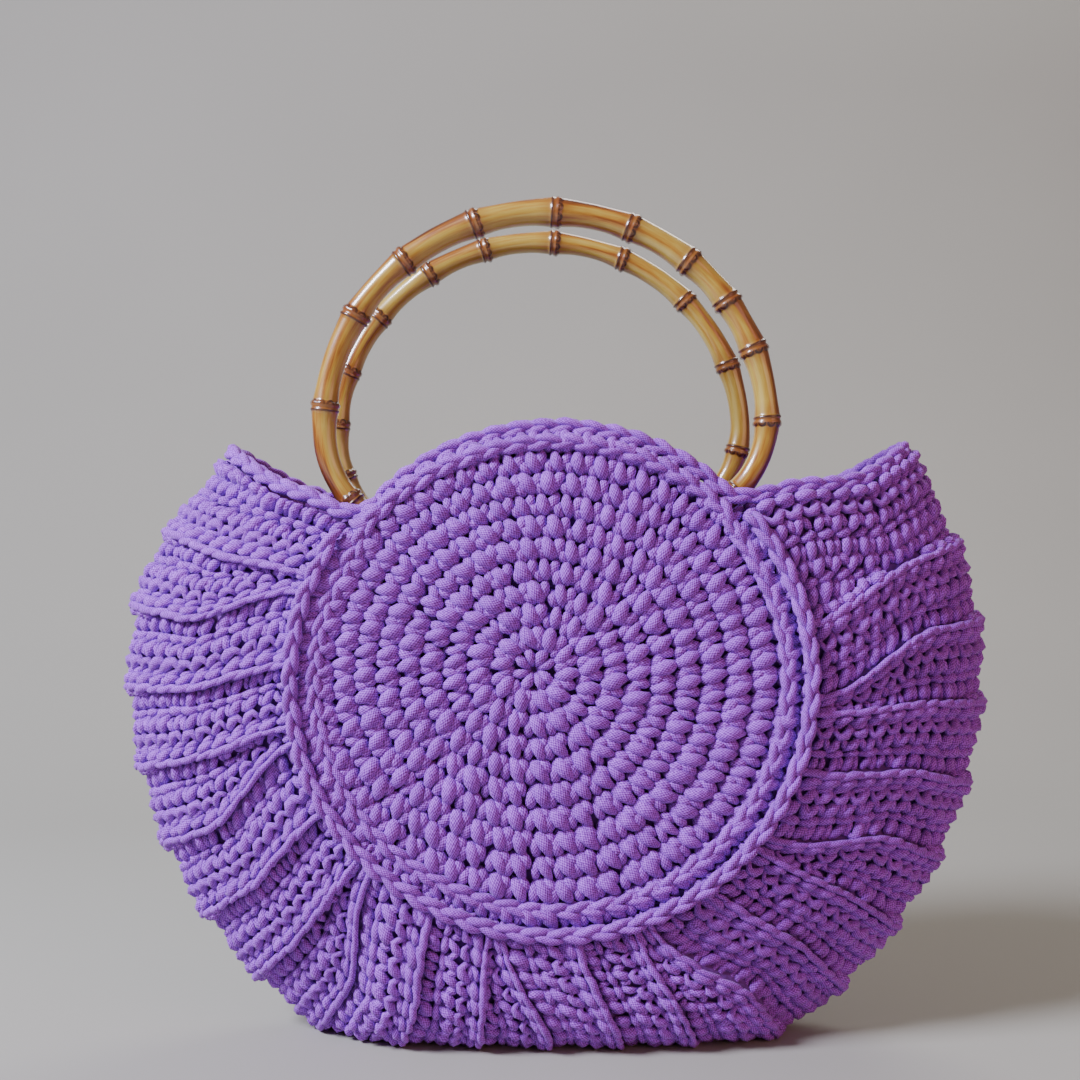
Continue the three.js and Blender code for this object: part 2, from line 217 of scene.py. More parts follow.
def number(tree, operation, *values, clamp=False):
    node = tree.nodes.new("ShaderNodeMath")
    node.operation = operation
    node.use_clamp = clamp
    for socket, value in zip(node.inputs, values):
        if isinstance(value, (int, float)):
            socket.default_value = value
        else:
            link(tree, value, socket)
    return node.outputs[0]


def attribute(tree, name, output="Fac"):
    node = tree.nodes.new("ShaderNodeAttribute")
    node.attribute_name = name
    return node.outputs[output]


def mix_colour(tree, share, first, second):
    node = tree.nodes.new("ShaderNodeMix")
    node.data_type = "RGBA"
    sockets = node.inputs["Factor"], node.inputs[6], node.inputs[7]
    for socket, value in zip(sockets, (share, first, second)):
        if isinstance(value, (int, float, tuple)):
            socket.default_value = value
        else:
            link(tree, value, socket)
    return node.outputs[2]


def noise(tree, vector, scale, detail=2.0, roughness=0.5):
    node = tree.nodes.new("ShaderNodeTexNoise")
    node.inputs["Scale"].default_value = scale
    node.inputs["Detail"].default_value = detail
    node.inputs["Roughness"].default_value = roughness
    link(tree, vector, node.inputs["Vector"])
    return node.outputs["Fac"]


def group_tree(name, inputs, outputs):
    tree = bpy.data.node_groups.new(name, "ShaderNodeTree")
    for label, kind, value in inputs:
        tree.interface.new_socket(label, in_out="INPUT", socket_type=kind).default_value = value
    for label, kind in outputs:
        tree.interface.new_socket(label, in_out="OUTPUT", socket_type=kind)
    return tree, tree.nodes.new("NodeGroupInput"), tree.nodes.new("NodeGroupOutput")


def knitted_jacket():
    """The cord's knitted jacket: small loops set in diagonal rows, with painted shade in the
    grooves between.
    """
    tree, entry, exit_ = group_tree(
        "knitted_jacket",
        [("Colour", "NodeSocketColor", CORD_COLOUR),
         ("Groove Shade Colour", "NodeSocketColor", CORD_GROOVE_SHADE_COLOUR),
         ("Loop Length", "NodeSocketFloat", LOOP_LENGTH)],
        [("Colour", "NodeSocketColor"), ("Height", "NodeSocketFloat")],
    )
    place = tree.nodes.new("ShaderNodeSeparateXYZ")
    link(tree, attribute(tree, "around", "Vector"), place.inputs[0])
    angle = number(tree, "ARCTAN2", place.outputs["Y"], place.outputs["X"])
    round_wave = number(tree, "COSINE", number(tree, "MULTIPLY", angle, attribute(tree, "columns")))
    row = number(tree, "DIVIDE", attribute(tree, "along"), entry.outputs["Loop Length"])
    long_wave = number(tree, "COSINE", number(tree, "MULTIPLY", row, 2 * math.pi))
    height = number(tree, "MULTIPLY_ADD", number(tree, "MULTIPLY", round_wave, long_wave), 0.5, 0.5)
    coords = tree.nodes.new("ShaderNodeTexCoord").outputs["Object"]
    lint = noise(tree, coords, LINT_SCALE, 1.0)
    worn = number(tree, "MULTIPLY_ADD", lint, 1.6, -0.8)
    # Painted shade: the grooves between the loops are darkened towards the groove's shade colour by
    # the loops' height.
    shade = number(tree, "ADD", number(tree, "MULTIPLY_ADD", height, 1.3, -0.15), worn, clamp=True)
    base = mix_colour(tree, shade, entry.outputs["Groove Shade Colour"], entry.outputs["Colour"])
    drift = number(tree, "MULTIPLY_ADD", noise(tree, coords, DRIFT_SCALE, 2.0), 0.24, 0.88)
    tone = number(tree, "MULTIPLY_ADD", attribute(tree, "tone"), 0.16, 0.92)
    light = number(tree, "MULTIPLY", tone, drift)
    scale = tree.nodes.new("ShaderNodeVectorMath")
    scale.operation = "SCALE"
    link(tree, base, scale.inputs[0])
    link(tree, light, scale.inputs["Scale"])
    link(tree, scale.outputs[0], exit_.inputs["Colour"])
    link(tree, height, exit_.inputs["Height"])
    return tree


KNITTED_JACKET = knitted_jacket()


def new_material(name, roughness):
    material = bpy.data.materials.new(name)
    material.use_nodes = True
    shader = material.node_tree.nodes["Principled BSDF"]
    shader.inputs["Roughness"].default_value = roughness
    return material, material.node_tree, shader


def bump(tree, shader, height, strength, distance):
    node = tree.nodes.new("ShaderNodeBump")
    node.inputs["Strength"].default_value = strength
    node.inputs["Distance"].default_value = distance
    link(tree, height, node.inputs["Height"])
    link(tree, node.outputs["Normal"], shader.inputs["Normal"])


def cord_material():
    material, tree, shader = new_material("purple_cord", 0.75)
    shader.inputs["Sheen Weight"].default_value = 0.12
    shader.inputs["Sheen Roughness"].default_value = 0.45
    shader.inputs["Specular IOR Level"].default_value = 0.3
    jacket = tree.nodes.new("ShaderNodeGroup")
    jacket.node_tree = KNITTED_JACKET
    link(tree, jacket.outputs["Colour"], shader.inputs["Base Color"])
    bump(tree, shader, jacket.outputs["Height"], 0.7, 0.0003)
    return material


CORD = cord_material()


def backing_material():
    """The crochet seen deep between its stitches: the same cord, close-packed, in darker colours
    that are painted shade.
    """
    material, tree, shader = new_material("packed_cord_painted_shade", 0.9)
    coords = tree.nodes.new("ShaderNodeTexCoord").outputs["Object"]
    packed = noise(tree, coords, PACKED_SCALE, 3.0)
    # Painted shade: the packed cord's colour is darkened for the shade that falls deep between the
    # stitches.
    colour = mix_colour(tree, packed, PACKED_DEEP_SHADE, PACKED_PALE_SHADE)
    link(tree, colour, shader.inputs["Base Color"])
    bump(tree, shader, packed, 0.8, 0.0012)
    return material


PACKED_CORD_PAINTED_SHADE = backing_material()


def panel_point(x, z, height):
    """Front panel: a place on its face, raised by height, in mm."""
    spread = np.clip(np.hypot(x, z) / PANEL_RADIUS, 0, 1)
    y = -(PANEL_FACE_Y + PANEL_DOME * (1 - spread ** 2) + height)
    return np.stack([x, y, PANEL_CENTRE_Z + z], -1)


def round_point(angle, rounds, height):
    """A place so many rounds out from the stitches' own centre, towards an angle."""
    share = rounds / ROUNDS_TO_EDGE
    x = ROUND_CENTRE[0] * (1 - share ** 2) + ROUND_REACH * share * np.cos(angle)
    z = ROUND_CENTRE[1] * (1 - share ** 2) + ROUND_REACH * share * np.sin(angle)
    return panel_point(x, z, height)


def panel_cords(rng, tables, point_of, petals=0):
    """The stitches of every round. A number of petals makes the first round, if it is given."""
    pitch = ROUND_REACH / ROUNDS_TO_EDGE
    batches = []
    for turn in range(1, ROUND_COUNT + 1):
        count, cords = int(round(2 * math.pi * (turn - 0.45) * pitch / STITCH_WIDTH)), tables
        if turn == 1 and petals:
            count, cords = petals, [FIRST_PETAL]
        width = 2 * math.pi * (turn - 0.5) * pitch / count / STITCH_WIDTH
        jitter = rng.uniform(-PANEL_JITTER, PANEL_JITTER, count)
        angles = 2 * math.pi * (np.arange(count) + ROUND_STAGGER * turn + jitter) / count
        lean = rng.normal(0, PANEL_LEAN, count)[:, None]
        size = rng.normal(1.0, PANEL_SIZE_SPREAD, count)[:, None]
        for cord in cords:
            sideways, out, height, radius = np.array(cord).T
            shift = rng.normal(0, PANEL_WANDER, (count, len(cord), 2))
            across = sideways * width * size + lean * (out / 6 - 0.8) + shift[..., 0]
            outwards = (turn - 1) * pitch + out * pitch / TABLE_PITCH + shift[..., 1]
            angle = angles[:, None] - across / np.maximum(outwards, TIGHTEST_ROUND)
            points = point_of(angle, outwards / pitch, height)
            radii = radius * size * rng.normal(1, PANEL_CORD_SPREAD, (count, 1))
            batches.append((points, radii, rng.uniform(0, 1, count)))
    return batches


def ease(t):
    """A smooth step from 0 to 1."""
    t = np.clip(t, 0, 1)
    return t * t * (3 - 2 * t)


def out_of_round(points):
    """Draws the front panel's crochet a little out of round, towards its left side."""
    return points - PANEL_BULGE * ease(-points[..., :1] / PANEL_RADIUS) * np.array([1, 0, 0])


def turned(batches, side):
    """Cords of the front panel, or the same ones turned half round for the back panel."""
    flip = np.array([1, 1, 1]) if side == "front" else np.array([-1, -1, 1])
    return [(out_of_round(points) * flip, radii, tones) for points, radii, tones in batches]


def grid_mesh(name, grid, material, closed_rows=False):
    """A mesh of quads over a grid of points, (rows, columns, 3) in mm."""
    rows, columns = grid.shape[:2]
    index = np.arange(rows * columns).reshape(rows, columns)
    if closed_rows:
        index = np.concatenate([index, index[:, :1]], 1)
    corners = [index[:-1, :-1], index[:-1, 1:], index[1:, 1:], index[1:, :-1]]
    quads = np.stack(corners, -1).reshape(-1, 4)
    mesh = bpy.data.meshes.new(name)
    mesh.from_pydata((grid.reshape(-1, 3) * MM).tolist(), [], quads.tolist())
    mesh.polygons.foreach_set("use_smooth", np.ones(len(quads), bool))
    mesh.materials.append(material)
    piece = bpy.data.objects.new(name, mesh)
    bpy.context.scene.collection.objects.link(piece)
    return piece


def panel_backing(side):
    """A thin packed disc behind the stitches, turned from a closed profile, in the painted-shade
    colours.
    """
    radii = np.linspace(0.05, PANEL_RADIUS - 0.5, 24)[:, None]
    angles = np.linspace(0, 2 * math.pi, 96, endpoint=False)
    front = panel_point(radii * np.cos(angles), radii * np.sin(angles), -BACKING_DEPTH)
    back = front.copy()[::-1]
    back[..., 1] = -PANEL_INNER_Y - BACKING_INSET
    grid = np.concatenate([front, back, front[:1]])
    grid[..., :2] *= 1 if side == "front" else -1
    piece = grid_mesh(f"{side}_panel_backing", grid, PACKED_CORD_PAINTED_SHADE, closed_rows=True)
    return piece


def inner_point(angle, rounds, height):
    """As round_point, but on the panel's inner face."""
    point = round_point(angle, rounds, 0)
    point[..., 1] = -PANEL_INNER_Y + INNER_LIFT + height
    return point


for side, seed in (("front", 4), ("back", 9)):
    rng = np.random.default_rng(seed)
    cords = panel_cords(rng, [FAT_LEG, THIN_LEG, BEAD], round_point, PETAL_COUNT)
    stitches = lay_cords(f"{side}_panel_stitches", turned(cords, side), CORD)
    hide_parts(f"{side}_panel")
    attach(stitches, "bag")
    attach(panel_backing(side), "bag")
    bumps = turned(panel_cords(rng, [INNER_BUMP], inner_point), side)
    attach(lay_cords(f"{side}_panel_inner_stitches", bumps, CORD, rings=5, sides=5), "bag")

# The side strip: rows of single crochet worked to and fro through the back loops, which makes
# deep ribs. It folds outwards at mid depth and is gathered in tucks at the panels. Every rib
# ends in a ridge of long slanted links, and then drops sharply to the next one.
CLEARANCE = 0.3
FACET_ALLOWANCE = 0.4
HALF_DEPTH = 51.0
CHAIN_WIDTH = 8.4
STRIP_THICKNESS = 6.5
STRIP_RIM_RADIUS = PANEL_RADIUS + CLEARANCE + FACET_ALLOWANCE
FOLD_RADIUS = PANEL_RADIUS + 97.4
RIB_COUNT = 21
RIB_RISE = 5.0
RIB_RISE_AT_BASE = 3.0
RIB_STEP = 0.11
END_RIB_SHARE = 1.2
SIDE_FOLD_POWER = 1.6
BASE_FOLD_POWER = 3.6
BASE_FLATTENING = 2.0
GATHER_WIDTH = 0.3
LEFT_TIP_DROP = 15.0
RIGHT_TIP_DROP = 4.0
TIP_DROP_ANGLE = 24.0
LEFT_NOTCH, LEFT_TIP = 143.5, 147.5
RIGHT_NOTCH, RIGHT_TIP = 401.0, 391.0
TUCK_SHARES = np.array([-0.1, -0.01, 0.5])
LEAST_SLOPE_TO_FLOOR = 0.2
RIB_TOP_SHARE = 0.9
RIB_FADE = 0.14
BASE_WALL_SHARE = 0.6
BACKING_SINK = 2.9
MIDDLE_SINK = 3.0
FLOOR_CLEARANCE = 0.96
STITCHES_ACROSS = 26
ROW_SPAN = 34.5
ROW_STITCH = 9.2
ROW_SQUEEZE = (0.78, 1.06)
THINNEST_SQUEEZE = 0.8
ROW_MARGIN = 0.8
HEM_ROW_SHIFT = 5
EDGE_MARGIN = 0.004

# How much the strip's stitches vary: their places in the row, lean, size and path.
STRIP_JITTER = 0.04
STRIP_LEAN = 0.08
STRIP_SIZE_SPREAD = 0.09
STRIP_WANDER = 0.4

# Cords of one stitch of each row: across the stitch, distance before the ridge, height over
# the strip's face, and the cord's radius, all in mm.
RIDGE_LINK = [
    (-7.6, 1.9, -0.8, 1.1), (-3.8, 1.5, 0.7, 1.7), (0.0, 0.9, 1.0, 1.85), (3.8, 0.5, 0.7, 1.7),
    (7.6, 0.3, -0.5, 1.1)
]
RIDGE_OVAL = [
    (-4.4, 6.9, -2.4, 1.2), (-2.6, 5.6, -0.3, 2.2), (0.2, 4.5, 0.4, 2.5), (2.8, 4.1, -0.2, 2.1),
    (4.6, 4.3, -2.4, 1.1)
]
UNDER_OVAL = [
    (-4.6, 10.0, -3.4, 1.1), (-2.2, 8.6, -1.5, 1.9), (0.8, 7.2, -1.0, 2.1), (3.6, 6.2, -2.6, 1.2)
]
ROUND_LOOP = [
    (-3.6, 8.8, -3.0, 1.2), (-4.0, 11.4, -0.4, 1.5), (-1.9, 13.9, 0.5, 1.9), (1.2, 13.0, 0.4, 2.7),
    (3.1, 10.4, -0.8, 2.3), (3.6, 8.2, -3.4, 1.1)
]
V_LEFT = [
    (-4.6, 22.8, -3.0, 1.2), (-3.1, 20.6, -0.1, 2.4), (-1.0, 17.8, 0.3, 2.6), (0.8, 15.2, -2.0, 1.4)
]
V_RIGHT = [
    (4.5, 21.8, -3.2, 1.2), (3.6, 19.4, -0.6, 2.2), (2.5, 16.8, -0.5, 2.2), (1.0, 14.8, -3.0, 1.2)
]
LOW_BAR = [
    (-5.0, 25.2, -2.4, 1.2), (-2.0, 24.6, -0.1, 2.2), (1.6, 24.0, -0.1, 2.3), (4.6, 25.0, -2.6, 1.1)
]
POST_LEAF = [
    (-3.8, 35.0, -2.4, 1.4), (-2.8, 32.0, 0.2, 2.4), (-0.8, 28.6, 0.2, 2.5), (0.8, 26.0, -2.6, 1.2)
]
POST_STRAND = [
    (2.2, 35.0, -2.6, 1.4), (2.7, 31.8, -0.4, 2.1), (3.4, 28.6, -0.7, 2.1), (3.6, 26.2, -3.2, 1.1)
]
LOW_ROW = [V_LEFT, V_RIGHT, LOW_BAR, POST_LEAF, POST_STRAND]
STRIP_ROWS = [(table, 0) for table in (RIDGE_LINK, RIDGE_OVAL, UNDER_OVAL, ROUND_LOOP)]
STRIP_ROWS += [(table, shift) for shift in (0, 19, 38) for table in LOW_ROW]
STRIP_BUMP = [
    (-4.4, -1.4, -0.2, 1.2), (-1.4, 1.0, 0.9, 2.5), (1.8, 1.0, 0.8, 2.5), (4.6, -1.4, -0.2, 1.2)
]
INNER_ROWS = [(STRIP_BUMP, shift) for shift in (4, 13, 22, 31, 40, 49, 58)]


def mix(a, b, t):
    return a + (b - a) * t


def unit(vectors):
    return vectors / np.linalg.norm(vectors, axis=-1, keepdims=True)


def strip_angles():
    """Where the hems and the ridges meet the seam and the fold, in degrees."""
    step = (RIGHT_TIP - LEFT_TIP) / (RIB_COUNT - 1 + 2 * END_RIB_SHARE)
    ribs = np.arange(RIB_COUNT)
    fold = LEFT_TIP + (ribs + END_RIB_SHARE) * step
    tuck = len(TUCK_SHARES)
    seam = fold[(ribs // tuck) * tuck] + tuck * step * TUCK_SHARES[ribs % tuck]
    return np.r_[LEFT_NOTCH, seam, RIGHT_NOTCH], np.r_[LEFT_TIP, fold, RIGHT_TIP]


SEAM_ANGLES, FOLD_ANGLES = strip_angles()


def fold_shape(fold_angle):
    """How far the fold stands out from the panels' rim in mm, how square the strip is there,
    and how much it lies on the floor, from 0 to 1."""
    from_left = ease((fold_angle - LEFT_TIP) / TIP_DROP_ANGLE)
    from_right = ease((RIGHT_TIP - fold_angle) / TIP_DROP_ANGLE)
    free = FOLD_RADIUS - LEFT_TIP_DROP * (1 - from_left) - RIGHT_TIP_DROP * (1 - from_right)
    down = -np.sin(np.radians(fold_angle))
    floor_radius = (PANEL_CENTRE_Z + BASE_FLATTENING) / np.maximum(down, LEAST_SLOPE_TO_FLOOR)
    floor_radius = np.where(down > LEAST_SLOPE_TO_FLOOR, floor_radius, np.inf)
    lowest = FOLD_RADIUS - PANEL_CENTRE_Z - BASE_FLATTENING
    base = np.sqrt(np.clip((FOLD_RADIUS - floor_radius) / lowest, 0, 1))
    reach = np.minimum(free, floor_radius) - STRIP_RIM_RADIUS
    return reach, mix(SIDE_FOLD_POWER, BASE_FOLD_POWER, base), base


def strip_surface(q, places, sink=0.0, ribbed=True):
    """Points of the strip in mm for every q (0 at the left hem, 1 to 21 at the ridges, 22 at
    the right hem) and place across it (0 at the front seam, 1 at the back one). sink is how
    deep they lie below the strip's outer face."""
    knots = np.arange(RIB_COUNT + 2)
    seam = np.interp(q, knots, SEAM_ANGLES)
    fold = np.interp(q, knots, FOLD_ANGLES)
    reach, power, base = fold_shape(fold)
    turn = np.linspace(-math.pi / 2, math.pi / 2, 241)
    square = (2 / power)[:, None]
    out = reach[:, None] * np.abs(np.cos(turn)) ** square
    deep = HALF_DEPTH * np.sign(np.sin(turn)) * np.abs(np.sin(turn)) ** square
    steps = np.hypot(np.diff(out, axis=1), np.diff(deep, axis=1))
    lengths = np.concatenate([np.zeros((len(q), 1)), np.cumsum(steps, 1)], 1)
    angles = np.array([np.interp(places * length[-1], length, turn) for length in lengths])
    from_seam = np.minimum(places, 1 - places)[None, :]
    angle = np.radians(mix(fold[:, None], seam[:, None], 1 - ease(from_seam / GATHER_WIDTH)))
    part = q - np.floor(q)
    fall = RIB_TOP_SHARE * (1 - (part - RIB_STEP) / (1 - RIB_STEP))
    climb = np.where(part < RIB_STEP, ease(part / RIB_STEP), fall)
    climb = np.where((q < 1) & (part < RIB_STEP), 0, climb) if ribbed else 0 * q
    rise = mix(RIB_RISE, RIB_RISE_AT_BASE, base) * climb
    under = sink + rise[:, None] * ease(from_seam / RIB_FADE)
    c = np.abs(np.cos(angles)) ** square
    s = np.sign(np.sin(angles)) * np.abs(np.sin(angles)) ** square
    radius = STRIP_RIM_RADIUS + np.maximum(reach[:, None] - under, 0) * c
    z = PANEL_CENTRE_Z + radius * np.sin(angle)
    z = np.maximum(z, sink * mix(1, BASE_WALL_SHARE, base)[:, None])
    return np.stack([radius * np.cos(angle), (HALF_DEPTH - under) * s, z], -1)


GRID_Q = np.linspace(0, RIB_COUNT + 1, (RIB_COUNT + 1) * 24 + 1)
GRID_PLACE = np.linspace(0, 1, 157)
STRIP_FACE = strip_surface(GRID_Q, GRID_PLACE)
STRIP_INNER = strip_surface(GRID_Q, GRID_PLACE, STRIP_THICKNESS)


def surface_normals(grid):
    """The outward direction at every point of a grid."""
    along = np.gradient(grid, axis=0)
    across = np.gradient(grid, axis=1)
    normals = np.cross(across, along)
    normals /= np.linalg.norm(normals, axis=-1, keepdims=True) + 1e-9
    middle = np.array([0, 0, PANEL_CENTRE_Z])
    if np.sum(normals * (grid - middle)) < 0:
        normals = -normals
    return normals


STRIP_NORMALS = surface_normals(strip_surface(GRID_Q, GRID_PLACE, MIDDLE_SINK, ribbed=False))


def sample(grid, q, place):
    """Reads a grid between its points."""
    i = np.clip(q / GRID_Q[-1], 0, 1) * (len(GRID_Q) - 1)
    j = np.clip(place, 0, 1) * (len(GRID_PLACE) - 1)
    i0 = np.clip(i.astype(int), 0, len(GRID_Q) - 2)
    j0 = np.clip(j.astype(int), 0, len(GRID_PLACE) - 2)
    fi, fj = (i - i0)[..., None], (j - j0)[..., None]
    low = grid[i0, j0] * (1 - fj) + grid[i0, j0 + 1] * fj
    high = grid[i0 + 1, j0] * (1 - fj) + grid[i0 + 1, j0 + 1] * fj
    return low * (1 - fi) + high * fi


def in_strip(q, place, height, radius):
    """A point over the strip's inner face. The cord's radius is for on_strip alone."""
    normal = sample(STRIP_NORMALS, q, place)
    return sample(STRIP_INNER, q, place) - normal * height[..., None]


def on_strip(q, place, height, radius):
    """A point over the strip's outer face, where its cord doesn't sink into the floor."""
    normal = unit(sample(STRIP_NORMALS, q, place))
    point = sample(STRIP_FACE, q, place) + normal * height[..., None]
    point[..., 2] = np.maximum(point[..., 2], radius * FLOOR_CLEARANCE)
    return point


def strip_cords(rng, first_rib, last_rib, tables, point_of):
    """Stitches of the ribs that end in the ridges from first_rib to last_rib."""
    stitch = 1 / STITCHES_ACROSS
    places = (np.arange(STITCHES_ACROSS) + 0.5) * stitch
    batches = []
    for rib in range(first_rib, last_rib + 1):
        rib_ends = np.repeat([[rib - 1.0], [rib - 0.001]], STITCHES_ACROSS, axis=1)
        far_end, ridge = sample(STRIP_FACE, rib_ends, np.tile(places, (2, 1)))
        width = np.linalg.norm(ridge - far_end, axis=-1)
        squeeze = np.clip(width / ROW_SPAN, *ROW_SQUEEZE)
        past_ridges = rib > RIB_COUNT
        for table, shift in tables:
            if past_ridges and table is RIDGE_LINK:
                continue
            sideways, before, height, radius = np.array(table).T
            before = before + (shift - HEM_ROW_SHIFT * past_ridges)
            seen = before.min() * squeeze < width - ROW_MARGIN
            count = int(seen.sum())
            if not count:
                continue
            wander = rng.normal(0, STRIP_WANDER, (count, len(table), 2))
            size = rng.normal(1, STRIP_SIZE_SPREAD, count)[:, None]
            lean = rng.normal(0, STRIP_LEAN, (count, 1)) * (before - before.mean())
            across = (sideways * size + wander[..., 0] + lean) / ROW_STITCH
            across = across + rng.normal(0, STRIP_JITTER, (count, 1))
            place = np.clip(places[seen][:, None] + across * stitch, EDGE_MARGIN, 1 - EDGE_MARGIN)
            tight = squeeze[seen][:, None]
            away = np.maximum(before * tight + wander[..., 1], 0) / width[seen][:, None]
            q = np.minimum(rib - np.clip(away, 0, 1 - RIB_STEP * 0.3), rib - EDGE_MARGIN)
            radii = radius * size * np.maximum(tight, THINNEST_SQUEEZE)
            points = point_of(q, place, np.broadcast_to(height, q.shape), radii)
            batches.append((points, radii, rng.uniform(0, 1, count)))
    return batches


STRIP_PARTS = [("left_strip_stitches", 1, 7), ("base_strip_stitches", 8, 15),
               ("right_strip_stitches", 16, 22)]
for seed, (name, first_rib, last_rib) in enumerate(STRIP_PARTS, 30):
    rng = np.random.default_rng(seed)
    stitches = strip_cords(rng, first_rib, last_rib, STRIP_ROWS, on_strip)
    piece = lay_cords(name, stitches, CORD, rings=6, sides=6)
    if first_rib == 1:
        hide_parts("side_strip")
    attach(piece, "bag")


def strip_backing():
    """A thin packed wall behind the strip's stitches, folded as the strip is, in the painted-shade
    colours.
    """
    q = np.linspace(0, RIB_COUNT + 1, (RIB_COUNT + 1) * 9 + 1)
    places = np.linspace(0, 1, 41)
    outer = strip_surface(q, places, BACKING_SINK)
    inner = strip_surface(q, places, STRIP_THICKNESS)
    grid = np.concatenate([outer, inner[:, ::-1]], 1)
    grid = np.concatenate([grid, grid[:, :1]], 1)
    piece = grid_mesh("side_strip_backing", grid, PACKED_CORD_PAINTED_SHADE)
    return piece


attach(strip_backing(), "bag")
rng = np.random.default_rng(40)
bumps = strip_cords(rng, 1, RIB_COUNT + 1, INNER_ROWS, in_strip)
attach(lay_cords("side_strip_inner_stitches", bumps, CORD, rings=4, sides=5), "bag")

# The seams and edgings: chain stitches in the same cord. A row of slanted links lies over each
# seam, another folds over each panel's rim, and one edges the whole mouth.
LINK_PITCH = 11.6
LINK_WANDER = 0.16
LINK_CORD_SPREAD = 0.05
LINK = [
    (-2.2, -0.3, -1.3, 1.1), (1.8, 0.6, 0.3, 1.8), (5.6, 1.6, 0.8, 2.05), (9.4, 2.2, 0.3, 1.85),
    (13.4, 1.8, -1.7, 1.0)
]


def read_line(s, distance, values):
    """Values given along a line, an (n, 3) array, read at the distances s."""
    return np.stack([np.interp(s, distance, values[:, k]) for k in range(3)], -1)


def chain_cords(rng, path, widthways, outwards, pitch, closed, columns):
    """Links along a path. A column of links is (side, lift, shift): the side of the chain that
    it is on, how far it stands off in mm, and how many links it is shifted along the chain.
    The path and both directions are (n, 3) arrays."""
    distance = np.r_[0, np.cumsum(np.linalg.norm(np.diff(path, axis=0), axis=1))]
    count = int(round(distance[-1] / pitch))
    pitch = distance[-1] / count
    starts = np.arange(count)[:, None] * pitch
    along, sideways, height, radius = np.array(LINK).T
    batches = []
    for side, lift, shift in columns:
        wander = rng.normal(0, LINK_WANDER, (count, len(LINK), 3))
        s = starts + along * pitch / LINK_PITCH + shift * pitch + wander[..., 0]
        s = s % distance[-1] if closed else np.clip(s, 0, distance[-1])
        wide = read_line(s, distance, widthways) * (side * sideways + wander[..., 1])[..., None]
        up = read_line(s, distance, outwards) * (height + lift + wander[..., 2])[..., None]
        points = read_line(s, distance, path) + wide + up
        radii = radius * rng.normal(1, LINK_CORD_SPREAD, (count, 1))
        batches.append((points, radii, rng.uniform(0, 1, count)))
    return batches


def ring_path(radius, y, first, last):
    """A ring round the panels' axis between two angles in degrees, and its outward direction."""
    angles = np.radians(np.linspace(first, last, 400))
    radial = np.stack([np.cos(angles), 0 * angles, np.sin(angles)], -1)
    path = radial * radius + np.array([0, y, PANEL_CENTRE_Z])
    return path, radial


seam_low, seam_high = (np.array(corner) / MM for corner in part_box("front_seam_chain"))
SEAM_RADIUS = (seam_high[0] - seam_low[0]) / 2 - CHAIN_WIDTH / 2 + 0.5
SEAM_SINK = 0.8
SEAM_Y = -(seam_low[1] + seam_high[1]) / 2 - SEAM_SINK
SEAM_PITCH = 12.4
SEAM_COLUMNS = [(1, 0.6, 0), (-1, 0.4, 0.45)]
SEAM_END_GAP = 0.5
RIM_CHAIN_RADIUS = SEAM_RADIUS - 10.5
RIM_CHAIN_LIFT = 0.6
RIM_CHAIN_SHIFT_AT_MOUTH = 3.4
RIM_SHIFT_START, RIM_SHIFT_SPAN = 3, 9
RIM_COLUMNS = [(1, 0.2, 0), (-1, 0.0, 0.45)]
EDGE_PITCH = 11.0


def panel_chain(rng, sign, path, radial, pitch, closed, columns):
    """A chain on a panel's face, drawn out of round with it. sign is -1 at the front."""
    as_front = np.array([-sign, 1, 1])
    path = out_of_round(path * as_front) * as_front
    facing = np.broadcast_to([0.0, sign, 0.0], path.shape)
    return chain_cords(rng, path[::-sign], radial[::-sign], facing, pitch, closed, columns)


for side, sign, seed in (("front", -1, 51), ("back", 1, 52)):
    rng = np.random.default_rng(seed)
    seam_ends = LEFT_NOTCH + SEAM_END_GAP, RIGHT_NOTCH - SEAM_END_GAP
    path, radial = ring_path(SEAM_RADIUS, sign * SEAM_Y, *seam_ends)
    seam = panel_chain(rng, sign, path, radial, SEAM_PITCH, False, SEAM_COLUMNS)
    piece = lay_cords(f"{side}_seam_links", seam, CORD)
    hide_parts(f"{side}_seam_chain")
    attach(piece, "bag")
    path, radial = ring_path(RIM_CHAIN_RADIUS, sign * (PANEL_FACE_Y + RIM_CHAIN_LIFT), 0, 360)
    turn = np.linspace(0, 360, len(path))
    past_right = ease((turn - RIGHT_NOTCH + 360 + RIM_SHIFT_START) / RIM_SHIFT_SPAN)
    at_mouth = past_right * ease((LEFT_NOTCH + RIM_SHIFT_START - turn) / RIM_SHIFT_SPAN)
    path += radial * (RIM_CHAIN_SHIFT_AT_MOUTH * at_mouth)[:, None]
    rim = panel_chain(rng, sign, path, radial, EDGE_PITCH, True, RIM_COLUMNS)
    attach(lay_cords(f"{side}_rim_links", rim, CORD), "bag")

MOUTH_RADIUS = PANEL_RADIUS + CLEARANCE + FACET_ALLOWANCE + CHAIN_WIDTH / 2
MOUTH_CORNER = 6.0
PANEL_THICKNESS = 6.5
HEM_PLACES = [0.06, 0.14, 0.23, 0.32, 0.41, 0.46, 0.5, 0.54, 0.59, 0.68, 0.77, 0.86, 0.94]
MOUTH_OUTER_COLUMNS = [(1, 0.9, 0), (-1, 0.9, 0.4)]
MOUTH_INNER_COLUMNS = [(1, 0.9, 0.2), (-1, 0.9, 0.6)]


